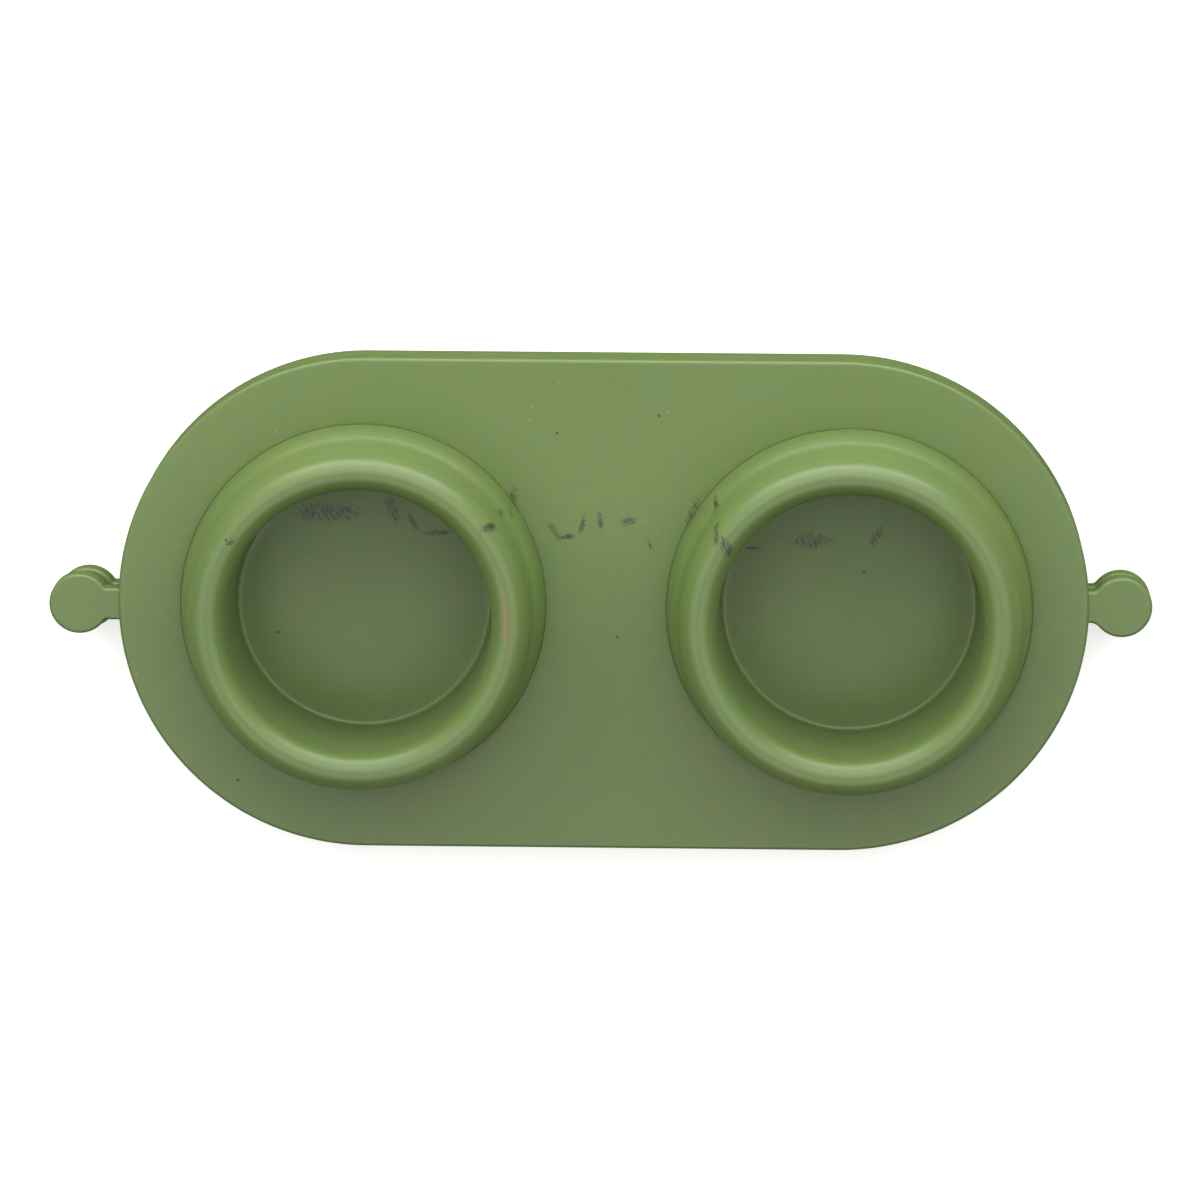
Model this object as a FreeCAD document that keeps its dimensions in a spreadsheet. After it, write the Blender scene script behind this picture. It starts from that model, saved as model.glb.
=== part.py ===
import FreeCAD, Part
import math
import os

import Sketcher

# A folding twin cup, lying folded flat on its peel-off cover.
# Frame: +X along the length, +Z up out of the cups' bottoms, origin under the middle of the cover.
# Millimetres. Every driving size is a cell of the sheet, and every sub-part reads it from there.

SIZES = [
    # the flat outline that the tray and the cover share
    ("body_length", 250.0),
    ("body_width", 128.0),
    # cover: a shallow dish with a sealing tongue
    ("cover_height", 7.6),
    ("cover_plate", 2.5),
    ("tongue_width", 1.4),
    ("tongue_height", 2.2),
    ("seal_clearance", 0.25),
    # tray: the flange that joins the two cups
    ("tray_height", 7.6),
    ("tray_plate", 2.5),
    ("skirt_width", 4.5),
    ("edge_radius", 0.9),
    # cups
    ("cup_spacing", 125.5),
    ("wall", 2.4),
    ("foot_radius", 47.2),
    ("band_draft", 1.0),
    ("band_height", 10.2),
    ("step_height", 1.2),
    ("step_width", 1.1),
    ("crown_height", 27.0),
    ("crown_radius", 4.25),
    ("crown_center_radius", 38.5),
    ("floor_radius", 32.1),
    ("floor_thickness", 2.2),
    ("floor_clearance", 0.3),
    # pull tabs, one pair at each end
    ("tab_radius", 7.8),
    ("tab_reach", 10.0),
    ("tab_thickness", 6.2),
    ("neck_width", 8.5),
    ("hinge_clearance", 0.25),
]

# The sizes that follow from the driving ones, in sheet expressions.
TRAY_FOOT = "Sizes.cover_height"
TRAY_TOP = "(Sizes.cover_height + Sizes.tray_height)"
PLATE_FOOT = "(Sizes.cover_height + Sizes.tray_height - Sizes.tray_plate)"
FLOOR_FOOT = "(Sizes.cover_height - Sizes.floor_thickness)"
BAND_TOP = f"({TRAY_TOP} + Sizes.band_height)"
STEP_TOP = f"({BAND_TOP} + Sizes.step_height)"
BAND_TOP_RADIUS = "(Sizes.foot_radius - Sizes.band_draft)"
STEP_RADIUS = f"({BAND_TOP_RADIUS} - Sizes.step_width)"
CROWN_FOOT = f"({TRAY_TOP} + Sizes.crown_height)"
CROWN_OUTER = "(Sizes.crown_center_radius + Sizes.crown_radius)"
CROWN_INNER = "(Sizes.crown_center_radius - Sizes.crown_radius)"
HINGE_X = "(Sizes.body_length / 2 + Sizes.hinge_clearance + Sizes.tab_thickness / 2)"
FRONT_TAB_Z = "(Sizes.cover_height + Sizes.tray_height / 2)"
REAR_TAB_Z = "(Sizes.cover_height / 2)"

doc = FreeCAD.newDocument("twin_cup")
sheet = doc.addObject("Spreadsheet::Sheet", "Sizes")
for row, (alias, value) in enumerate(SIZES, start=1):
    sheet.set(f"A{row}", alias)
    sheet.set(f"B{row}", str(value))
    sheet.setAlias(f"B{row}", alias)
doc.recompute()

sub_parts = []


def number(expression):
    """The value of a sheet expression, in millimetres."""
    value = sheet.evalExpression(str(expression))
    return float(getattr(value, "Value", value))


def new_body(label):
    body = doc.addObject("PartDesign::Body", label)
    body.Label = label
    sub_parts.append(body)
    return body


def new_sketch(body, name, plane):
    sketch = body.newObject("Sketcher::SketchObject", f"{body.Name}_{name}")
    support = next(f for f in body.Origin.OriginFeatures if f.Role == plane)
    sketch.AttachmentSupport = (support, [""])
    sketch.MapMode = "FlatFace"
    return sketch


def bind(sketch, index, name, expression):
    """Names a constraint and ties its size to the sheet."""
    sketch.renameConstraint(index, name)
    sketch.setExpression(f"Constraints.{name}", expression)


def polygon(sketch, points, arcs=()):
    """A closed outline through points given as pairs of expressions.

    arcs holds (start point's index, centre) for stretches that are arcs instead of lines.
    """
    spots = [FreeCAD.Vector(number(x), number(y), 0) for x, y in points]
    centers = dict(arcs)
    for i, spot in enumerate(spots):
        following = spots[(i + 1) % len(spots)]
        if i in centers:
            add_arc(sketch, spot, following, centers[i])
        else:
            sketch.addGeometry(Part.LineSegment(spot, following), False)
    starts = [arc_end(sketch, i, points, centers, first=True) for i in range(len(points))]
    ends = [arc_end(sketch, i, points, centers, first=False) for i in range(len(points))]
    for i in range(len(points)):
        following = (i + 1) % len(points)
        sketch.addConstraint(Sketcher.Constraint("Coincident", i, ends[i], following, starts[following]))
    for i, (x, y) in enumerate(points):
        along = sketch.addConstraint(
            Sketcher.Constraint("DistanceX", -1, 1, i, starts[i], spots[i].x))
        bind(sketch, along, f"across_{i}", x)
        up = sketch.addConstraint(
            Sketcher.Constraint("DistanceY", -1, 1, i, starts[i], spots[i].y))
        bind(sketch, up, f"up_{i}", y)
    for i, (_, height) in centers.items():
        up = sketch.addConstraint(Sketcher.Constraint("DistanceY", -1, 1, i, 3, number(height)))
        bind(sketch, up, f"center_up_{i}", height)


def add_arc(sketch, start, end, center):
    """An arc over the top from start to end, drawn anticlockwise as the sketcher wants it."""
    middle = FreeCAD.Vector(number(center[0]), number(center[1]), 0)
    radius = start.distanceToPoint(middle)
    circle = Part.Circle(middle, FreeCAD.Vector(0, 0, 1), radius)
    right, left = (start, end) if start.x > end.x else (end, start)
    low = math.atan2(right.y - middle.y, right.x - middle.x)
    high = math.atan2(left.y - middle.y, left.x - middle.x)
    sketch.addGeometry(Part.ArcOfCircle(circle, low, high), False)


def arc_end(sketch, index, points, centers, first):
    """Which end of a piece of the outline comes first: 1 for its start, 2 for its end."""
    if index not in centers:
        return 1 if first else 2
    x = number(points[index][0])
    following_x = number(points[(index + 1) % len(points)][0])
    runs_forward = x > following_x
    return 1 if first == runs_forward else 2


def stadium(sketch, inset):
    """The shared outline, drawn in by the inset expression."""
    half = "((Sizes.body_length - Sizes.body_width) / 2)"
    radius = f"(Sizes.body_width / 2 - {inset})"
    h, r = number(half), number(radius)
    spot = FreeCAD.Vector
    quarter = math.pi / 2
    right_end = Part.Circle(spot(h, 0, 0), spot(0, 0, 1), r)
    left_end = Part.Circle(spot(-h, 0, 0), spot(0, 0, 1), r)
    sketch.addGeometry(Part.LineSegment(spot(-h, -r, 0), spot(h, -r, 0)), False)
    sketch.addGeometry(Part.ArcOfCircle(right_end, -quarter, quarter), False)
    sketch.addGeometry(Part.LineSegment(spot(h, r, 0), spot(-h, r, 0)), False)
    sketch.addGeometry(Part.ArcOfCircle(left_end, quarter, 3 * quarter), False)
    for i in range(4):
        sketch.addConstraint(Sketcher.Constraint("Tangent", i, 2, (i + 1) % 4, 1))
    sketch.addConstraint(Sketcher.Constraint("Horizontal", 0))
    sketch.addConstraint(Sketcher.Constraint("Symmetric", 1, 3, 3, 3, -1, 1))
    along = sketch.addConstraint(Sketcher.Constraint("DistanceX", -1, 1, 1, 3, h))
    bind(sketch, along, "half_straight", half)
    bind(sketch, sketch.addConstraint(Sketcher.Constraint("Radius", 1, r)), "end_radius", radius)


def circle(sketch, x, radius, name):
    """A circle on the sketch's horizontal axis, at the x expression."""
    index = sketch.addGeometry(
        Part.Circle(FreeCAD.Vector(number(x), 0, 0), FreeCAD.Vector(0, 0, 1), number(radius)), False)
    sketch.addConstraint(Sketcher.Constraint("PointOnObject", index, 3, -1))
    along = sketch.addConstraint(Sketcher.Constraint("DistanceX", -1, 1, index, 3, number(x)))
    bind(sketch, along, f"{name}_x", x)
    size = sketch.addConstraint(Sketcher.Constraint("Radius", index, number(radius)))
    bind(sketch, size, f"{name}_radius", radius)


def lift(sketch, expression):
    """Moves a sketch up along its plane's normal."""
    sketch.setExpression("AttachmentOffset.Base.z", expression)


def pad(body, sketch, name, length):
    feature = body.newObject("PartDesign::Pad", f"{body.Name}_{name}")
    feature.Profile = sketch
    feature.setExpression("Length", length)
    sketch.Visibility = False
    doc.recompute()
    return feature


def pocket_up(body, sketch, name, length):
    """Cuts upwards from the sketch, and makes sure that it cut."""
    before = body.Shape.Volume
    feature = body.newObject("PartDesign::Pocket", f"{body.Name}_{name}")
    feature.Profile = sketch
    feature.setExpression("Length", length)
    feature.Reversed = True
    doc.recompute()
    if body.Shape.Volume >= before:
        raise RuntimeError(f"{feature.Name} cut nothing")
    return feature


def revolve(body, sketch, name):
    feature = body.newObject("PartDesign::Revolution", f"{body.Name}_{name}")
    feature.Profile = sketch
    feature.ReferenceAxis = (sketch, ["V_Axis"])
    feature.Angle = 360
    doc.recompute()
    return feature


def round_edges(body, name, height, radius):
    """Rounds the outer edges that lie at one height."""
    tolerance = 1e-4
    level = number(height)
    reach = number("Sizes.body_width / 2") - number("Sizes.skirt_width") / 2
    picked = []
    for i, edge in enumerate(body.Shape.Edges, start=1):
        box = edge.BoundBox
        flat = abs(box.ZMin - level) < tolerance and abs(box.ZMax - level) < tolerance
        if flat and max(abs(box.YMin), abs(box.YMax)) > reach:
            picked.append(f"Edge{i}")
    rounded = body.Tip
    feature = body.newObject("PartDesign::Fillet", f"{body.Name}_{name}")
    feature.Base = (rounded, picked)
    feature.setExpression("Radius", radius)
    doc.recompute()
    return feature


def back_cover():
    """A shallow dish, its rim level with the tray's skirt, and a tongue that plugs into the skirt."""
    body = new_body("back_cover")
    outline = new_sketch(body, "outline", "XY_Plane")
    stadium(outline, "0")
    pad(body, outline, "slab", "Sizes.cover_height")
    tongue = new_sketch(body, "tongue", "XY_Plane")
    stadium(tongue, "(Sizes.skirt_width + Sizes.seal_clearance)")
    lift(tongue, "Sizes.cover_height")
    pad(body, tongue, "tongue_block", "Sizes.tongue_height")
    hollow = new_sketch(body, "hollow", "XY_Plane")
    stadium(hollow, "(Sizes.skirt_width + Sizes.seal_clearance + Sizes.tongue_width)")
    lift(hollow, "Sizes.cover_plate")
    pocket_up(body, hollow, "dish", "Sizes.cover_height + Sizes.tongue_height")
    round_edges(body, "foot_round", "0", "Sizes.edge_radius")


def cup_tray():
    """The flange: a plate with a skirt round it, and a round hole for each cup's wall."""
    body = new_body("cup_tray")
    outline = new_sketch(body, "outline", "XY_Plane")
    stadium(outline, "0")
    lift(outline, TRAY_FOOT)
    pad(body, outline, "slab", "Sizes.tray_height")
    hollow = new_sketch(body, "hollow", "XY_Plane")
    stadium(hollow, "Sizes.skirt_width")
    lift(hollow, TRAY_FOOT)
    pocket_up(body, hollow, "underside", "Sizes.tray_height - Sizes.tray_plate")
    holes = new_sketch(body, "holes", "XY_Plane")
    circle(holes, "-Sizes.cup_spacing / 2", "Sizes.foot_radius", "left")
    circle(holes, "Sizes.cup_spacing / 2", "Sizes.foot_radius", "right")
    lift(holes, TRAY_FOOT)
    pocket_up(body, holes, "cup_holes", "Sizes.tray_height + Sizes.edge_radius")
    round_edges(body, "top_round", TRAY_TOP, "Sizes.edge_radius")


def place_cup(body, side):
    body.setExpression("Placement.Base.x", f"{side} * Sizes.cup_spacing / 2")


def outer_wall(label, side):
    """The wall that stays up when the cup folds: a straight band, a rounded step, then a cone."""
    body = new_body(label)
    profile = new_sketch(body, "profile", "XZ_Plane")
    polygon(profile, [
        ("(Sizes.foot_radius - Sizes.wall)", PLATE_FOOT),
        ("Sizes.foot_radius", PLATE_FOOT),
        ("Sizes.foot_radius", TRAY_TOP),
        (BAND_TOP_RADIUS, BAND_TOP),
        (STEP_RADIUS, STEP_TOP),
        (CROWN_OUTER, CROWN_FOOT),
        (f"({CROWN_OUTER} - Sizes.wall)", CROWN_FOOT),
        (f"({STEP_RADIUS} - Sizes.wall)", STEP_TOP),
    ])
    revolve(body, profile, "wall")
    place_cup(body, side)


def fold_crown(label, side):
    """The rolled edge where the wall turns back down into the cup."""
    body = new_body(label)
    profile = new_sketch(body, "profile", "XZ_Plane")
    center = ("Sizes.crown_center_radius", CROWN_FOOT)
    polygon(profile, [
        (CROWN_OUTER, CROWN_FOOT),
        (CROWN_INNER, CROWN_FOOT),
        (f"({CROWN_INNER} + Sizes.wall)", CROWN_FOOT),
        (f"({CROWN_OUTER} - Sizes.wall)", CROWN_FOOT),
    ], arcs=[(0, center), (2, center)])
    revolve(body, profile, "roll")
    place_cup(body, side)


def inner_wall(label, side):
    """The wall that hangs down inside when folded, and turns inside out to stand up when popped."""
    body = new_body(label)
    profile = new_sketch(body, "profile", "XZ_Plane")
    polygon(profile, [
        ("Sizes.floor_radius", FLOOR_FOOT),
        ("(Sizes.floor_radius + Sizes.wall)", FLOOR_FOOT),
        (f"({CROWN_INNER} + Sizes.wall)", CROWN_FOOT),
        (CROWN_INNER, CROWN_FOOT),
    ])
    revolve(body, profile, "wall")
    place_cup(body, side)


def cup_floor(label, side):
    """The flat end of the cup, which a thumb pushes out."""
    body = new_body(label)
    outline = new_sketch(body, "outline", "XY_Plane")
    circle(outline, "0", "(Sizes.floor_radius - Sizes.floor_clearance)", "disc")
    lift(outline, FLOOR_FOOT)
    pad(body, outline, "disc", "Sizes.floor_thickness")
    place_cup(body, side)


def pull_tab(label, side, height):
    """A round finger tab on a short neck, with a full round at the neck's root about its bending line."""
    body = new_body(label)
    half = "(Sizes.tab_thickness / 2)"
    reach = f"(Sizes.body_length / 2 + Sizes.tab_reach - {HINGE_X})"
    disc = new_sketch(body, "disc", "XY_Plane")
    circle(disc, reach, "Sizes.tab_radius", "disc")
    lift(disc, f"-{half}")
    pad(body, disc, "disc_pad", "Sizes.tab_thickness")
    neck = new_sketch(body, "neck", "XZ_Plane")
    t, r = number(half), number(reach)
    spot = FreeCAD.Vector
    neck.addGeometry(Part.LineSegment(spot(0, -t, 0), spot(r, -t, 0)), False)
    neck.addGeometry(Part.LineSegment(spot(r, -t, 0), spot(r, t, 0)), False)
    neck.addGeometry(Part.LineSegment(spot(r, t, 0), spot(0, t, 0)), False)
    round_end = Part.Circle(spot(0, 0, 0), spot(0, 0, 1), t)
    neck.addGeometry(Part.ArcOfCircle(round_end, math.pi / 2, math.pi * 3 / 2), False)
    for i in range(4):
        neck.addConstraint(Sketcher.Constraint("Coincident", i, 2, (i + 1) % 4, 1))
    neck.addConstraint(Sketcher.Constraint("Horizontal", 0))
    neck.addConstraint(Sketcher.Constraint("Vertical", 1))
    neck.addConstraint(Sketcher.Constraint("Horizontal", 2))
    neck.addConstraint(Sketcher.Constraint("Coincident", 3, 3, -1, 1))
    neck.addConstraint(Sketcher.Constraint("PointOnObject", 3, 1, -2))
    bind(neck, neck.addConstraint(Sketcher.Constraint("Radius", 3, t)), "root_round", half)
    bind(neck, neck.addConstraint(Sketcher.Constraint("DistanceX", -1, 1, 1, 1, r)), "reach", reach)
    neck_pad = pad(body, neck, "neck_pad", "Sizes.neck_width")
    neck_pad.Midplane = True
    doc.recompute()
    body.setExpression("Placement.Base.x", f"{side} * {HINGE_X}")
    body.setExpression("Placement.Base.z", height)
    if side < 0:
        body.Placement.Rotation = FreeCAD.Rotation(FreeCAD.Vector(0, 0, 1), 180)


back_cover()
cup_tray()
for name, side in (("left", -1), ("right", 1)):
    outer_wall(f"{name}_outer_wall", side)
    fold_crown(f"{name}_fold_crown", side)
    inner_wall(f"{name}_inner_wall", side)
    cup_floor(f"{name}_cup_floor", side)
    pull_tab(f"{name}_front_tab", side, FRONT_TAB_Z)
    pull_tab(f"{name}_rear_tab", side, REAR_TAB_Z)

doc.recompute()

for thing in doc.Objects:
    if "Invalid" in thing.State or "Error" in thing.State:
        raise RuntimeError(f"{thing.Name} failed: {thing.State}")
for body in sub_parts:
    if body.Shape.isNull() or not body.Shape.isValid() or len(body.Shape.Solids) != 1:
        raise RuntimeError(f"{body.Label} isn't one valid solid")

os.makedirs("parts", exist_ok=True)
for body in sub_parts:
    body.Shape.exportStep(f"parts/{body.Label}.step")
    box = body.Shape.BoundBox
    print(f"{body.Label}: {box.XLength:.1f} x {box.YLength:.1f} x {box.ZLength:.1f} mm, "
          f"{body.Shape.Volume / 1000:.2f} cm3")
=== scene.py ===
import math

import bmesh
import bpy
from mathutils import Matrix, Vector


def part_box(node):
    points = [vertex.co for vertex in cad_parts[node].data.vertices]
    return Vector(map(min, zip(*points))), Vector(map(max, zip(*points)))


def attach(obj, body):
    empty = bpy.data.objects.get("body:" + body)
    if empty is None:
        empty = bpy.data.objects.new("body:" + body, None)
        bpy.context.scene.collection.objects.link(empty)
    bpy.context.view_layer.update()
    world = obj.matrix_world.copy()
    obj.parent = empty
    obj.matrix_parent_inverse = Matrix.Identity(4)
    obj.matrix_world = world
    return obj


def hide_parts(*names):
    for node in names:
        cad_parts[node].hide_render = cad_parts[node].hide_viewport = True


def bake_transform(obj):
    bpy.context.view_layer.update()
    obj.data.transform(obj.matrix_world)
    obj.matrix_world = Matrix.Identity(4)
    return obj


# A folding twin paw washer cup in soft matte silicone: a tray with two folded cups, on its peel-off cover.
# Meshes are built in millimetres and handed over in metres, in the frame's own axes.
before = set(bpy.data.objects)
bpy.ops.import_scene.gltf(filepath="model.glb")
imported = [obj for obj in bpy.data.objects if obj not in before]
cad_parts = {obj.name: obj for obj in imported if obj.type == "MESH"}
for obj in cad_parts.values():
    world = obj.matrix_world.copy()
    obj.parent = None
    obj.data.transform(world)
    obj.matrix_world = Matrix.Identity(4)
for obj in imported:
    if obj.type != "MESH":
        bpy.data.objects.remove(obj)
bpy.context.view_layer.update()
mm = 0.001
sides = {"left": -1, "right": 1}

# how far the soft pieces lie from their places in the frame, in millimetres
drift = {
    "rightEnd": 0.6,
    "cups": {"left": Vector((1.1, -0.4, 0)), "right": Vector((1.1, -0.6, 0))},
    "tabs": {
        "left_front": Vector((-0.2, -0.9, 0)),
        "left_rear": Vector((1.4, -0.6, 0)),
        "right_front": Vector((-0.9, 0.5, 0)),
        "right_rear": Vector((-0.9, 0.5, 0)),
    },
}
print("frame loaded:", len(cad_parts), "nodes")


# the lowest and highest corner of a CAD node, in millimetres
def boxOf(node):
    low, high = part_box(node)
    return low / mm, high / mm


# what all meshes share; outlines are drawn in the X-Z plane
meshing = {
    "roundSegments": 6,
    "longestEdge": 1.6,
    "crownStep": 3.5,       # degrees of the crown's arc in one segment
    "spinSteps": 168,
    "endSteps": 72,
    "weld": 0.002,
}


# the vertices, or the edges, among an operator's results
def only(kind, parts):
    return [part for part in parts if isinstance(part, kind)]


# turns the open end of a line about a centre and returns the new end
def turnEnd(bm, vert, center, axis, angle, steps):
    turned = bmesh.ops.spin(bm, geom=[vert], cent=center, axis=axis, angle=angle, steps=steps)
    return only(bmesh.types.BMVert, turned["geom_last"])[0]


# the direction at an angle in degrees, counted from outwards to upwards
def pointing(angle):
    return Vector((math.cos(math.radians(angle)), 0, math.sin(math.radians(angle))))


# rounds one corner of an outline with an arc that touches both of its edges
def roundCorner(bm, vert, radius):
    arms = [(edge.other_vert(vert).co - vert.co).normalized() for edge in vert.link_edges]
    reach = radius / math.tan(arms[0].angle(arms[1]) / 2)
    bmesh.ops.bevel(bm, geom=[vert], affect="VERTICES", offset=reach, segments=meshing["roundSegments"],
                    profile=0.5, material=-1)


# joins the corners (x, z, radius) in a row
def drawLine(bm, corners):
    verts = [bm.verts.new((x, 0, z)) for x, z, radius in corners]
    for a, b in zip(verts, verts[1:]):
        bm.edges.new((a, b))
    return verts


# rounds the corners that have a radius
def roundCorners(bm, verts, corners):
    for vert, (x, z, radius) in zip(verts, corners):
        if radius:
            roundCorner(bm, vert, radius)


# splits long stretches, so that the shading of a round stays on the round
def splitLong(bm, longest):
    for edge in list(bm.edges):
        cuts = int(edge.calc_length() / longest)
        if cuts:
            bmesh.ops.subdivide_edges(bm, edges=[edge], cuts=cuts)


# welds seams and poles, turns the faces outwards, and makes the object
def makePiece(name, bm, finish, nodes):
    bmesh.ops.remove_doubles(bm, verts=bm.verts, dist=meshing["weld"])
    bmesh.ops.recalc_face_normals(bm, faces=bm.faces)
    bmesh.ops.scale(bm, vec=(mm, mm, mm), verts=bm.verts)
    mesh = bpy.data.meshes.new(name)
    bm.to_mesh(mesh)
    bm.free()
    mesh.shade_smooth()
    mesh.materials.append(finish)
    piece = bpy.data.objects.new(name, mesh)
    bpy.context.scene.collection.objects.link(piece)
    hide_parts(*nodes)
    print("made", name, len(mesh.polygons), "faces")
    return piece


# turns the outline, drawn from its own axis, once round a cup's upright axis
def turnRound(bm, side, axis):
    place = Vector((axis, 0, 0)) + drift["cups"][side]
    bmesh.ops.translate(bm, vec=place, verts=bm.verts)
    bmesh.ops.spin(bm, geom=bm.verts[:] + bm.edges[:], cent=place, axis=(0, 0, 1),
                   angle=math.tau, steps=meshing["spinSteps"], use_merge=True)


# carries the outline, drawn along the right end's length, once round the stadium shape
def sweepStadium(bm, halfStraight):
    right = halfStraight + drift["rightEnd"]
    quarter = Matrix.Rotation(-math.pi / 2, 3, "Z")
    bmesh.ops.rotate(bm, cent=(halfStraight, 0, 0), matrix=quarter, verts=bm.verts)
    bmesh.ops.translate(bm, vec=(drift["rightEnd"], 0, 0), verts=bm.verts)
    across = bm.verts[:] + bm.edges[:]
    for x, nextX in ((right, -halfStraight), (-halfStraight, right)):
        turned = bmesh.ops.spin(bm, geom=across, cent=(x, 0, 0), axis=(0, 0, 1),
                                angle=math.pi, steps=meshing["endSteps"])
        edges = only(bmesh.types.BMEdge, turned["geom_last"])
        run = bmesh.ops.extrude_edge_only(bm, edges=edges)["geom"]
        verts = only(bmesh.types.BMVert, run)
        bmesh.ops.translate(bm, vec=(nextX - x, 0, 0), verts=verts)
        across = verts + only(bmesh.types.BMEdge, run)
    bmesh.ops.remove_doubles(bm, verts=bm.verts, dist=meshing["weld"])


# the open edges that lie flat at one height
def openEdges(bm, z):
    return [edge for edge in bm.edges
            if edge.is_boundary and all(abs(vert.co.z - z) < meshing["weld"] for vert in edge.verts)]


# wraps a socket: arithmetic on it adds Math nodes
class Wire:
    def __init__(self, tree, socket):
        self.tree = tree
        self.socket = socket

    # any other node: its type, its settings, then the values or links of its sockets
    def node(self, kind, settings, inputs, output=0):
        made = self.tree.nodes.new(kind)
        for name, value in settings.items():
            setattr(made, name, value)
        for name, value in inputs.items():
            if isinstance(value, Wire):
                self.tree.links.new(value.socket, made.inputs[name])
            else:
                made.inputs[name].default_value = value
        return Wire(self.tree, made.outputs[output])

    def math(self, operation, *values):
        return self.node("ShaderNodeMath", {"operation": operation}, dict(enumerate(values)))

    def __add__(self, other):
        return self.math("ADD", self, other)

    def __radd__(self, other):
        return self.math("ADD", other, self)

    def __sub__(self, other):
        return self.math("SUBTRACT", self, other)

    def __rsub__(self, other):
        return self.math("SUBTRACT", other, self)

    def __mul__(self, other):
        return self.math("MULTIPLY", self, other)

    def __rmul__(self, other):
        return self.math("MULTIPLY", other, self)

    # 0 below low, 1 above high, smooth between
    def rise(self, low, high):
        return self.node("ShaderNodeMapRange", {"interpolation_type": "SMOOTHSTEP"},
                         {"Value": self, "From Min": low, "From Max": high})

    def noise(self, scale, detail, roughness):
        return self.node("ShaderNodeTexNoise", {},
                         {"Vector": self, "Scale": scale, "Detail": detail, "Roughness": roughness})

    # this much of the other colour over the first
    def mixed(self, color, other):
        return self.node("ShaderNodeMix", {"data_type": "RGBA"}, {0: self, 6: color, 7: other}, output=2)

    # a tint is a colour, the low and high where it comes in, and how strong it gets
    def tinted(self, color, tint):
        other, span, strength = tint
        return (self.rise(*span) * strength).mixed(color, other)


silicone = {
    "color": (0.146, 0.230, 0.060, 1),
    "roughness": 0.36,
    "specular": 0.95,
    "broadNoise": (0.035, 3, 0.55),     # scale per millimetre, detail, roughness
    "patchNoise": (0.17, 3, 0.6),
    "grainNoise": (2.6, 3, 0.7),
    "yellowed": ((0.164, 0.232, 0.062, 1), (0.40, 0.62), 0.7),
    "cool": ((0.136, 0.232, 0.070, 1), (0.46, 0.62), 0.6),
    "worn": ((0.205, 0.270, 0.110, 1), (0.35, 0.75), 0.12),
    "dustColor": (0.55, 0.58, 0.50, 1),
    "dustScale": 0.22,
    "dustSize": (0.028, 0.048),
    "dustAreas": (0.46, 0.56),
    "dustStrength": 0.55,
    "upwards": (0.05, 0.35),            # height of the normal where scuffs and dust come in
    "patchGloss": 0.10,                 # how much the roughness swings with each noise
    "grainGloss": 0.06,
    "grainHeight": 0.000010,            # metres
}

# rubbed-on marks and stains, in millimetres: middle, half width and length, degrees of lean
scuffs = {
    "color": (0.030, 0.034, 0.030, 1),
    "darkness": 0.92,
    "patchFade": (0.25, 1.0),           # from the middle of a patch to its edge
    "patchDepth": 1000,
    "hairLean": 27,
    "hairSize": (0.20, 2.6, 4.0),
    "hairNoise": (1.0, 3, 0.6),
    "hairLift": 0.12,                   # how much a patch raises its noise
    "hairEdge": (0.57, 0.66),
    "hairAreas": (0.0, 0.5),
    "crumbNoise": (2.6, 3, 0.7),
    "crumbLift": 0.16,
    "crumbEdge": (0.56, 0.65),
    "crumbAreas": (0.0, 0.3),
    "strokes": [
        ((-71.5, 22.6), (12.5, 3.8), 0),
        ((-54.6, 23.4), (2.2, 5.0), 20),
        ((-12.4, 19.6), (1.2, 3.6), 30),
        ((29.6, 25.2), (1.2, 8.0), 4),
        ((31.8, 20.8), (2.2, 4.4), 22),
        ((-22.8, 27.9), (1.6, 5.0), 0),
        ((23.2, 24.6), (1.4, 6.4), -20),
        ((54.0, 16.2), (8.0, 2.8), 0),
        ((70.6, 17.4), (2.0, 4.4), -30),
    ],
    "crumbs": [
        ((-49.2, 20.4), (1.1, 3.6), 32),
        ((-42.6, 17.4), (5.4, 0.9), 3),
        ((-27.6, 25.0), (3.6, 1.6), 14),
        ((-93.6, 20.6), (1.8, 0.9), 30),
        ((-9.2, 17.9), (3.6, 1.0), 4),
        ((-5.2, 20.8), (0.9, 3.8), -14),
        ((-0.6, 22.2), (1.1, 2.8), 10),
        ((6.8, 22.1), (2.6, 1.6), 8),
        ((12.3, 16.0), (0.6, 1.7), 20),
        ((38.6, 14.1), (3.2, 0.7), 0),
    ],
    "stain": ((-23.7, 1.0), (2.0, 11.0), 3),
    "stainColor": (0.300, 0.190, 0.085, 1),
    "stainEdge": (0.2, 0.6),
    "stainStrength": 0.45,
    "specks": [
        (14.5, 49.6), (-11.7, 44.9), (4.0, -8.2), (-94.2, -46.8),
        (-84.2, -9.1), (67.6, 8.1), (-94.7, 21.3),
    ],
    "speckRadius": 0.55,
    "speckEdge": (0.1, 0.6),
}


# 1 in the middle of a leaning ellipse, 0 outside it
def patchOf(millimetres, spot):
    (x, y), (halfWidth, halfLength), lean = spot
    local = millimetres.node("ShaderNodeMapping", {"vector_type": "TEXTURE"}, {
        "Vector": millimetres,
        "Location": (x, y, 0),
        "Rotation": (0, 0, math.radians(lean)),
        "Scale": (halfWidth, halfLength, scuffs["patchDepth"]),
    })
    distance = local.node("ShaderNodeVectorMath", {"operation": "LENGTH"}, {0: local}, output=1)
    return 1.0 - distance.rise(*scuffs["patchFade"])


# the strongest of many patches
def strongest(patches):
    total = patches[0]
    for patch in patches[1:]:
        total = total.math("MAXIMUM", total, patch)
    return total


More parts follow.
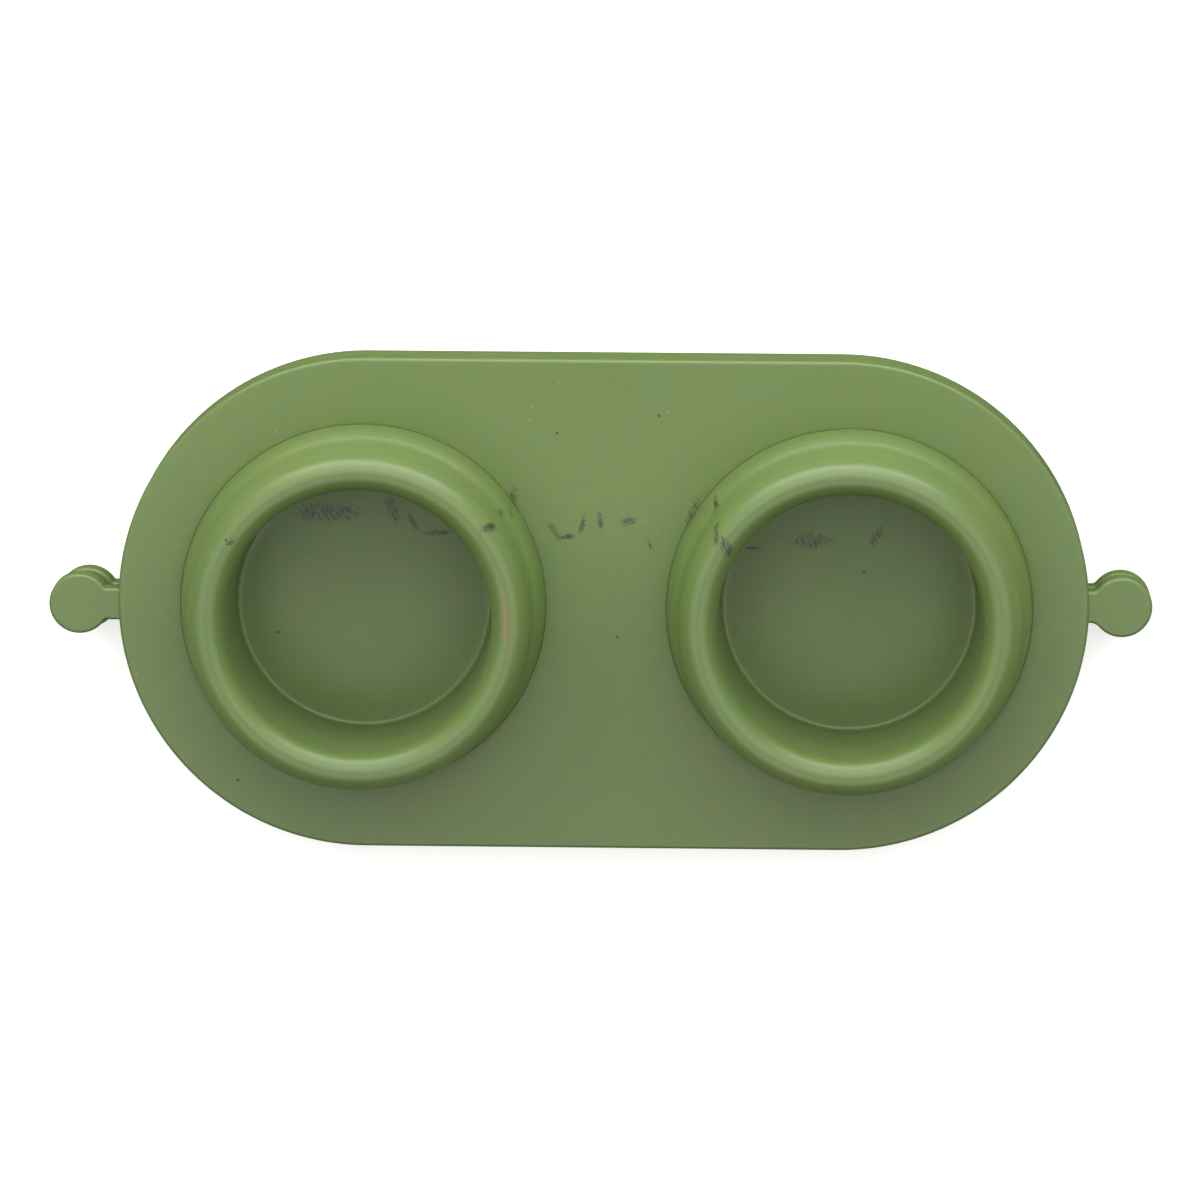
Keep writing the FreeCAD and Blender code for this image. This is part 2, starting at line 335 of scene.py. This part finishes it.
# dark hair lines, crumbs, one reddish stain and a few specks, only on faces that look up
def addScuffs(color, millimetres, upwards):
    leaning = millimetres.node("ShaderNodeMapping", {"vector_type": "TEXTURE"}, {
        "Vector": millimetres,
        "Rotation": (0, 0, math.radians(scuffs["hairLean"])),
        "Scale": scuffs["hairSize"],
    })
    hairs = leaning.noise(*scuffs["hairNoise"])
    crumbs = millimetres.noise(*scuffs["crumbNoise"])
    hairAreas = strongest([patchOf(millimetres, spot) for spot in scuffs["strokes"]])
    crumbAreas = strongest([patchOf(millimetres, spot) for spot in scuffs["crumbs"]])
    marks = (hairs + hairAreas * scuffs["hairLift"]).rise(*scuffs["hairEdge"])
    marks = marks * hairAreas.rise(*scuffs["hairAreas"])
    dotted = (crumbs + crumbAreas * scuffs["crumbLift"]).rise(*scuffs["crumbEdge"])
    dotted = dotted * crumbAreas.rise(*scuffs["crumbAreas"])
    radius = scuffs["speckRadius"]
    specks = strongest([patchOf(millimetres, (place, (radius, radius), 0)) for place in scuffs["specks"]])
    stain = patchOf(millimetres, scuffs["stain"]) * crumbs.rise(*scuffs["stainEdge"])
    color = (stain * upwards * scuffs["stainStrength"]).mixed(color, scuffs["stainColor"])
    marks = strongest([marks, dotted, specks.rise(*scuffs["speckEdge"])])
    return (marks * upwards * scuffs["darkness"]).mixed(color, scuffs["color"])


# moulded silicone: a fine matte grain, faint mottling and a little dust, with scuffs if asked for
def siliconeFinish(name, scuffed):
    material = bpy.data.materials.new(name)
    material.use_nodes = True
    tree = material.node_tree
    shader = tree.nodes["Principled BSDF"]
    coordinates = tree.nodes.new("ShaderNodeTexCoord")
    place = Wire(tree, coordinates.outputs["Object"])
    normal = Wire(tree, coordinates.outputs["Normal"])
    upwards = normal.node("ShaderNodeSeparateXYZ", {}, {0: normal}, output=2).rise(*silicone["upwards"])
    millimetres = place.node("ShaderNodeVectorMath", {"operation": "SCALE"}, {0: place, "Scale": 1 / mm})
    broad = millimetres.noise(*silicone["broadNoise"])
    patches = millimetres.noise(*silicone["patchNoise"])
    grain = millimetres.noise(*silicone["grainNoise"])
    color = broad.tinted(silicone["color"], silicone["yellowed"])
    color = patches.tinted(color, silicone["cool"])
    color = grain.tinted(color, silicone["worn"])
    if scuffed:
        color = addScuffs(color, millimetres, upwards)
    dust = millimetres.node("ShaderNodeTexVoronoi", {},
                            {"Vector": millimetres, "Scale": silicone["dustScale"]})
    bright = (1.0 - dust.rise(*silicone["dustSize"])) * broad.rise(*silicone["dustAreas"]) * upwards
    color = (bright * silicone["dustStrength"]).mixed(color, silicone["dustColor"])
    tree.links.new(color.socket, shader.inputs["Base Color"])
    roughness = silicone["roughness"] + (patches - 0.5) * silicone["patchGloss"]
    roughness = roughness + (grain - 0.5) * silicone["grainGloss"]
    tree.links.new(roughness.socket, shader.inputs["Roughness"])
    bump = grain.node("ShaderNodeBump", {}, {"Distance": silicone["grainHeight"], "Height": grain})
    tree.links.new(bump.socket, shader.inputs["Normal"])
    shader.inputs["Specular IOR Level"].default_value = silicone["specular"]
    print("finish", name)
    return material


trayFinish = siliconeFinish("traySilicone", True)
coverFinish = siliconeFinish("coverSilicone", False)


# the cover is a dish whose rim meets the tray's skirt, with a tongue that plugs into the skirt
cover = {
    "rimWidth": 4.75,       # from the outside to the tongue
    "tongueWidth": 1.4,
    "rimHeight": 7.6,
    "floorThickness": 2.5,
    "footRound": 0.9,
    "rimRound": 0.45,
    "tongueRound": 0.35,
    "seatRound": 0.2,
    "dishRound": 0.8,
}


def buildCover():
    low, high = boxOf("back_cover")
    radius = high.y
    tongue = high.x - cover["rimWidth"]
    halfStraight = high.x - radius
    dish = tongue - cover["tongueWidth"]
    corners = [
        (halfStraight, low.z, 0),
        (high.x, low.z, cover["footRound"]),
        (high.x, cover["rimHeight"], cover["rimRound"]),
        (tongue, cover["rimHeight"], cover["seatRound"]),
        (tongue, high.z, cover["tongueRound"]),
        (dish, high.z, cover["tongueRound"]),
        (dish, cover["floorThickness"], cover["dishRound"]),
        (halfStraight, cover["floorThickness"], 0),
    ]
    bm = bmesh.new()
    verts = drawLine(bm, corners)
    roundCorners(bm, verts, corners)
    splitLong(bm, meshing["longestEdge"])
    sweepStadium(bm, halfStraight)
    piece = makePiece("coverShell", bm, coverFinish, ["back_cover"])
    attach(piece, "cover")


# the tray is a plate with a skirt round it and a hole for each cup
tray = {
    "plate": 2.5,
    "skirtWidth": 4.5,
    "topRound": 0.9,
    "footRound": 0.45,
    "innerRound": 0.6,
    "lipRound": 0.2,
    "margin": 3.0,          # flat strip between the skirt and the filled middle
    "holeOverlap": 0.05,    # the plate reaches this far into a cup's wall
    "holeRound": 0.3,
    "holeMargin": 2.0,      # flat strip round a hole, up to the filled middle
}


def buildTray():
    low, high = boxOf("cup_tray")
    halfStraight = high.x - high.y
    under = high.z - tray["plate"]
    skirt = high.x - tray["skirtWidth"]
    strip = skirt - tray["margin"]
    corners = [
        (strip, under, 0),
        (skirt, under, tray["innerRound"]),
        (skirt, low.z, tray["lipRound"]),
        (high.x, low.z, tray["footRound"]),
        (high.x, high.z, tray["topRound"]),
        (strip, high.z, 0),
    ]
    bm = bmesh.new()
    verts = drawLine(bm, corners)
    roundCorners(bm, verts, corners)
    splitLong(bm, meshing["longestEdge"])
    sweepStadium(bm, halfStraight)
    for side in sides:
        wallLow, wallHigh = boxOf(f"{side}_outer_wall")
        center = (wallLow.x + wallHigh.x) / 2
        hole = wallHigh.x - center - tray["holeOverlap"]
        rim = wallHigh.x - center + tray["holeMargin"]
        edge = bmesh.new()
        edgeCorners = [
            (rim, high.z, 0),
            (hole, high.z, tray["holeRound"]),
            (hole, under, 0),
            (rim, under, 0),
        ]
        roundCorners(edge, drawLine(edge, edgeCorners), edgeCorners)
        turnRound(edge, side, center)
        joined = bpy.data.meshes.new("holeEdge")
        edge.to_mesh(joined)
        edge.free()
        bm.from_mesh(joined)
        bpy.data.meshes.remove(joined)
    for z in (under, high.z):
        bmesh.ops.triangle_fill(bm, use_beauty=True, edges=openEdges(bm, z), normal=(0, 0, 1))
    piece = makePiece("trayPlate", bm, trayFinish, ["cup_tray"])
    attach(piece, "tray")


# a cup has a wall that stays up, a rolled crown, and a skin that folds down inside it
cup = {
    "footHeight": 2.5,      # the wall's stretch inside the tray's plate
    "draft": 1.0,           # how much the band narrows on its way up
    "bandHeight": 7.2,
    "bandRound": 4.6,
    "stepHeight": 2.5,
    "stepWidth": 2.3,
    "stepRound": 2.8,
    "rimRound": 0.3,        # where the wall ends, under the plate
    "innerRound": 0.8,      # on the wall's hidden side
    "crest": 90,            # degrees round the crown at its highest line
    "crownWiden": 0.40,     # how much fuller than the frame's crown
    "crownShift": Vector((0.3, 0, -1.5)),
    "overlap": 14,          # degrees by which the wall and the skin lap over each other at the crown
    "tuck": 0.1,
    "floorClearance": 1.4,
    "floorRound": 1.25,
    "heelRound": 1.2,
}


# an arc over the crown's crest that ends tucked in by a little; returns its first and last vertex
def crownArc(bm, center, radius, start, end, tuck):
    first = bm.verts.new(center + radius * pointing(start))
    last = first
    for begin, finish, depth in ((start, cup["crest"], 0), (cup["crest"], end, tuck)):
        steps = max(2, round(abs(finish - begin) / meshing["crownStep"]))
        known = set(bm.verts)
        last = turnEnd(bm, last, center, (0, -1, 0), math.radians(finish - begin), steps)
        added = [vert for vert in bm.verts if vert not in known]
        for i, vert in enumerate(added, start=1):
            inwards = (center - vert.co).normalized()
            vert.co += inwards * depth * (i / len(added)) ** 2
    return first, last


# the place where a line from a point touches a circle, as an angle in degrees
def touchAngle(center, radius, point, turn):
    away = point - center
    spread = math.acos(radius / away.length)
    return math.degrees(math.atan2(away.z, away.x) + turn * spread) % 360


# a cup's sizes and places, all from the frame
def measureCup(side):
    wallLow, wallHigh = boxOf(f"{side}_outer_wall")
    crownLow, crownHigh = boxOf(f"{side}_fold_crown")
    skinLow, skinHigh = boxOf(f"{side}_inner_wall")
    floorLow, floorHigh = boxOf(f"{side}_cup_floor")
    axis = (wallLow.x + wallHigh.x) / 2
    crownRadius = crownHigh.z - crownLow.z
    crownReach = crownHigh.x - axis - crownRadius
    return {
        "axis": axis,
        "foot": wallHigh.x - axis,
        "footZ": wallLow.z,
        "crownRadius": crownRadius + cup["crownWiden"],
        "center": Vector((crownReach, 0, crownLow.z)) + cup["crownShift"],
        "crestZ": crownHigh.z,
        "wall": skinHigh.x - axis - (crownReach - crownRadius),
        "floorRadius": floorHigh.x - axis,
        "floorZ": floorHigh.z,
        "heelZ": floorLow.z,
    }


# joins an outline's stretches end to end
def joinUp(bm, *pairs):
    for a, b in pairs:
        bm.edges.new((a, b))


def buildCupWall(side, size):
    wall = size["wall"]
    center = size["center"]
    plateTop = size["footZ"] + cup["footHeight"]
    bandTop = plateTop + cup["bandHeight"]
    bandRadius = size["foot"] - cup["draft"]
    step = Vector((bandRadius - cup["stepWidth"], 0, bandTop + cup["stepHeight"]))
    touch = touchAngle(center, size["crownRadius"], step, 1)
    normal = pointing(touch)
    innerStep = step - wall * normal
    outside = [
        (size["foot"], size["footZ"], 0),
        (size["foot"], plateTop, 0),
        (bandRadius, bandTop, cup["bandRound"]),
        (step.x, step.z, cup["stepRound"]),
    ]
    inside = [
        (size["foot"] - wall, size["footZ"], cup["rimRound"]),
        (size["foot"] - wall, plateTop, 0),
        (bandRadius - wall, bandTop - cup["stepHeight"], cup["innerRound"]),
        (innerStep.x, innerStep.z, cup["innerRound"]),
    ]
    bm = bmesh.new()
    outer = drawLine(bm, outside)
    inner = drawLine(bm, inside)
    over = cup["crest"] + cup["overlap"]
    outFirst, outLast = crownArc(bm, center, size["crownRadius"], touch, over, cup["tuck"])
    inFirst, inLast = crownArc(bm, center, size["crownRadius"] - wall, touch, over, -cup["tuck"])
    joinUp(bm, (outer[-1], outFirst), (inner[-1], inFirst), (outLast, inLast), (outer[0], inner[0]))
    roundCorners(bm, outer, outside)
    roundCorners(bm, inner, inside)
    splitLong(bm, meshing["longestEdge"])
    turnRound(bm, side, size["axis"])
    piece = makePiece(f"{side}CupWall", bm, trayFinish,
                      [f"{side}_outer_wall", f"{side}_fold_crown"])
    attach(piece, "tray")


def buildCupSkin(side, size):
    wall = size["wall"]
    center = size["center"]
    corner = Vector((size["floorRadius"] + cup["floorClearance"], 0, size["floorZ"]))
    touch = touchAngle(center, size["crownRadius"], corner, -1)
    normal = pointing(touch)
    behind = corner - wall * normal
    lean = (size["heelZ"] - behind.z) / normal.x
    heel = Vector((behind.x - lean * normal.z, 0, size["heelZ"]))
    inside = [(0, size["floorZ"], 0), (corner.x, corner.z, cup["floorRound"])]
    outside = [(0, size["heelZ"], 0), (heel.x, heel.z, cup["heelRound"])]
    bm = bmesh.new()
    shown = drawLine(bm, inside)
    hidden = drawLine(bm, outside)
    over = cup["crest"] - cup["overlap"]
    outFirst, outLast = crownArc(bm, center, size["crownRadius"], touch, over, cup["tuck"])
    inFirst, inLast = crownArc(bm, center, size["crownRadius"] - wall, touch, over, -cup["tuck"])
    joinUp(bm, (shown[-1], outFirst), (hidden[-1], inFirst), (outLast, inLast))
    roundCorners(bm, shown, inside)
    roundCorners(bm, hidden, outside)
    splitLong(bm, meshing["longestEdge"])
    turnRound(bm, side, size["axis"])
    piece = makePiece(f"{side}CupSkin", bm, trayFinish,
                      [f"{side}_inner_wall", f"{side}_cup_floor"])
    end = Vector((size["axis"], 0, size["floorZ"] + 2 * cup["floorRound"])) * mm
    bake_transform(piece)


# each layer has a round finger tab on a short neck at each end
tab = {
    "round": 0.85,
    "roundSegments": 6,
    "rootDepth": 1.6,       # how far the neck reaches into the body
    "neckWidth": 8.3,
    "fillets": {"left": (0.7, 0.7), "right": (3.2, 1.6)},       # near side, far side
    "filletSteps": 6,
    "discSteps": 72,
    "cuts": 8,              # across the neck, in even steps
    "support": 0.35,        # inset that keeps the round's shading off the flats
    "bend": (125.0, 129.0),     # where the cuts across the neck start and stop
    "cutReach": 0.0001,
    "capCorners": 8,        # a flat face has more corners than this
    "capTurn": 0.999,       # and its normal is at least this upright
}


# neck, fillet, disc, fillet, neck: drawn for the right end, at the height of its underside
def drawTab(bm, side, middle, radius, root):
    halfNeck = tab["neckWidth"] / 2
    near, far = tab["fillets"][side]
    nearLean = math.acos((halfNeck + near) / (radius + near))
    farLean = math.acos((halfNeck + far) / (radius + far))
    nearCenter = middle - Vector((math.sin(nearLean) * (radius + near), halfNeck + near, 0))
    farCenter = middle + Vector((-math.sin(farLean) * (radius + far), halfNeck + far, 0))
    first = bm.verts.new((nearCenter.x, middle.y - halfNeck, middle.z))
    up = (0, 0, 1)
    last = turnEnd(bm, first, nearCenter, up, -nearLean, tab["filletSteps"])
    last = turnEnd(bm, last, middle, up, math.pi + nearLean + farLean, tab["discSteps"])
    last = turnEnd(bm, last, farCenter, up, -farLean, tab["filletSteps"])
    start = bm.verts.new((root, middle.y - halfNeck, middle.z))
    end = bm.verts.new((root, middle.y + halfNeck, middle.z))
    joinUp(bm, (start, first), (last, end), (end, start))


def buildTab(side, layer, finish):
    node = f"{side}_{layer}_tab"
    low, high = boxOf(node)
    way = sides[side]
    bodyEnd = boxOf("cup_tray")[1].x
    radius = (high.y - low.y) / 2
    tip = max(abs(low.x), abs(high.x))
    moved = drift["tabs"][f"{side}_{layer}"]
    middle = Vector((tip - radius + way * moved.x, moved.y, low.z))
    bm = bmesh.new()
    drawTab(bm, side, middle, radius, bodyEnd - tab["rootDepth"])
    bmesh.ops.contextual_create(bm, geom=bm.edges[:])
    raised = bmesh.ops.extrude_face_region(bm, geom=bm.faces[:])["geom"]
    bmesh.ops.translate(bm, vec=(0, 0, high.z - low.z), verts=only(bmesh.types.BMVert, raised))
    bmesh.ops.recalc_face_normals(bm, faces=bm.faces)
    rims = [line for line in bm.edges if abs(line.verts[0].co.z - line.verts[1].co.z) < meshing["weld"]]
    bmesh.ops.bevel(bm, geom=rims, affect="EDGES", offset=tab["round"], segments=tab["roundSegments"],
                    profile=0.5, material=-1)
    caps = [face for face in bm.faces
            if abs(face.normal.z) > tab["capTurn"] and len(face.verts) > tab["capCorners"]]
    bmesh.ops.inset_region(bm, faces=caps, thickness=tab["support"], use_even_offset=True)
    begin, bent = tab["bend"]
    for i in range(tab["cuts"] + 1):
        x = begin + (bent - begin) * i / tab["cuts"]
        bmesh.ops.bisect_plane(bm, geom=bm.verts[:] + bm.edges[:] + bm.faces[:], dist=tab["cutReach"],
                               plane_co=(x, 0, 0), plane_no=(1, 0, 0))
    if way < 0:
        bmesh.ops.scale(bm, vec=(-1, 1, 1), verts=bm.verts)
    piece = makePiece(f"{side}{layer.capitalize()}Tab", bm, finish, [node])
    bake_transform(piece)


buildCover()
buildTray()
for side in sides:
    size = measureCup(side)
    buildCupWall(side, size)
    buildCupSkin(side, size)
    buildTab(side, "front", trayFinish)
    buildTab(side, "rear", coverFinish)


view = {
    "lens": 212.7,
    "sensor": 36.0,
    "distance": 1.829,      # metres
    "clipStart": 0.05,
    "lean": 10.0,           # degrees towards the far side
    "sideLean": -1.47,
    "roll": -0.53,
    "shift": (-0.46, 1.44),     # millimetres right and up
}


def placeCamera():
    turn = (Matrix.Rotation(math.radians(view["sideLean"]), 4, "Y")
            @ Matrix.Rotation(math.radians(view["lean"]), 4, "X")
            @ Matrix.Rotation(math.radians(view["roll"]), 4, "Z"))
    aim = Vector((0, 0, boxOf("cup_tray")[1].z * mm))
    right, up = view["shift"]
    data = bpy.data.cameras.new("camera")
    data.lens = view["lens"]
    data.sensor_width = view["sensor"]
    data.clip_start = view["clipStart"]
    camera = bpy.data.objects.new("camera", data)
    camera.matrix_world = (Matrix.Translation(aim) @ turn.transposed()
                           @ Matrix.Translation((right * mm, up * mm, view["distance"])))
    bpy.context.scene.collection.objects.link(camera)
    bpy.context.scene.camera = camera


# each lamp: name, place in metres, width, height, watts, whether it shows in the gloss
studio = {
    "color": (1.0, 0.98, 0.955),
    "lamps": [
        ("farLow", (0.0, 0.80, 0.22), 1.20, 0.40, 3.2, True),
        ("farMiddle", (0.0, 0.75, 0.50), 1.20, 0.60, 2.9, True),
        ("farHigh", (0.0, 0.60, 1.20), 1.00, 0.80, 3.9, True),
        ("farLeft", (-0.70, 0.60, 0.50), 0.70, 0.70, 3.7, False),
        ("farRight", (0.70, 0.60, 0.50), 0.70, 0.70, 3.0, False),
        ("highLeft", (-0.70, 0.0, 1.10), 0.90, 0.90, 2.6, True),
        ("highRight", (0.70, 0.0, 1.10), 0.90, 0.90, 2.5, True),
        ("nearHigh", (0.0, -0.60, 1.20), 1.10, 0.70, 2.6, True),
    ],
}


def placeLamps():
    for name, place, width, height, watts, glossy in studio["lamps"]:
        data = bpy.data.lights.new(name, "AREA")
        data.shape = "RECTANGLE"
        data.size = width
        data.size_y = height
        data.energy = watts
        data.color = studio["color"]
        lamp = bpy.data.objects.new(name, data)
        lamp.location = place
        lamp.rotation_euler = (-Vector(place)).to_track_quat("-Z", "Y").to_euler()
        lamp.visible_camera = False
        lamp.visible_glossy = glossy
        bpy.context.scene.collection.objects.link(lamp)


backdrop = {
    "size": 3.0,            # metres
    "gap": 0.1,             # millimetres between the floor and the cover
    "color": (0.86, 0.86, 0.86, 1),
    "roughness": 0.9,
    "glow": 0.62,
    "glowColor": (1, 1, 1, 1),
    "worldColor": (1, 1, 1, 1),
    "worldLight": 0.02,
}


def placeFloor():
    bm = bmesh.new()
    bmesh.ops.create_grid(bm, x_segments=1, y_segments=1, size=backdrop["size"],
                          matrix=Matrix.Translation((0, 0, -backdrop["gap"] * mm)))
    mesh = bpy.data.meshes.new("floor")
    bm.to_mesh(mesh)
    bm.free()
    material = bpy.data.materials.new("paleFloor")
    material.use_nodes = True
    shader = material.node_tree.nodes["Principled BSDF"]
    shader.inputs["Base Color"].default_value = backdrop["color"]
    shader.inputs["Roughness"].default_value = backdrop["roughness"]
    shader.inputs["Emission Color"].default_value = backdrop["glowColor"]
    shader.inputs["Emission Strength"].default_value = backdrop["glow"]
    mesh.materials.append(material)
    floor = bpy.data.objects.new("floor", mesh)
    bpy.context.scene.collection.objects.link(floor)
    floor.visible_glossy = False
    world = bpy.data.worlds.new("studio")
    world.use_nodes = True
    sky = world.node_tree.nodes["Background"]
    sky.inputs["Color"].default_value = backdrop["worldColor"]
    sky.inputs["Strength"].default_value = backdrop["worldLight"]
    bpy.context.scene.world = world
    bpy.context.scene.view_settings.view_transform = "Standard"


placeCamera()
placeLamps()
placeFloor()
print("camera, lamps and floor placed")
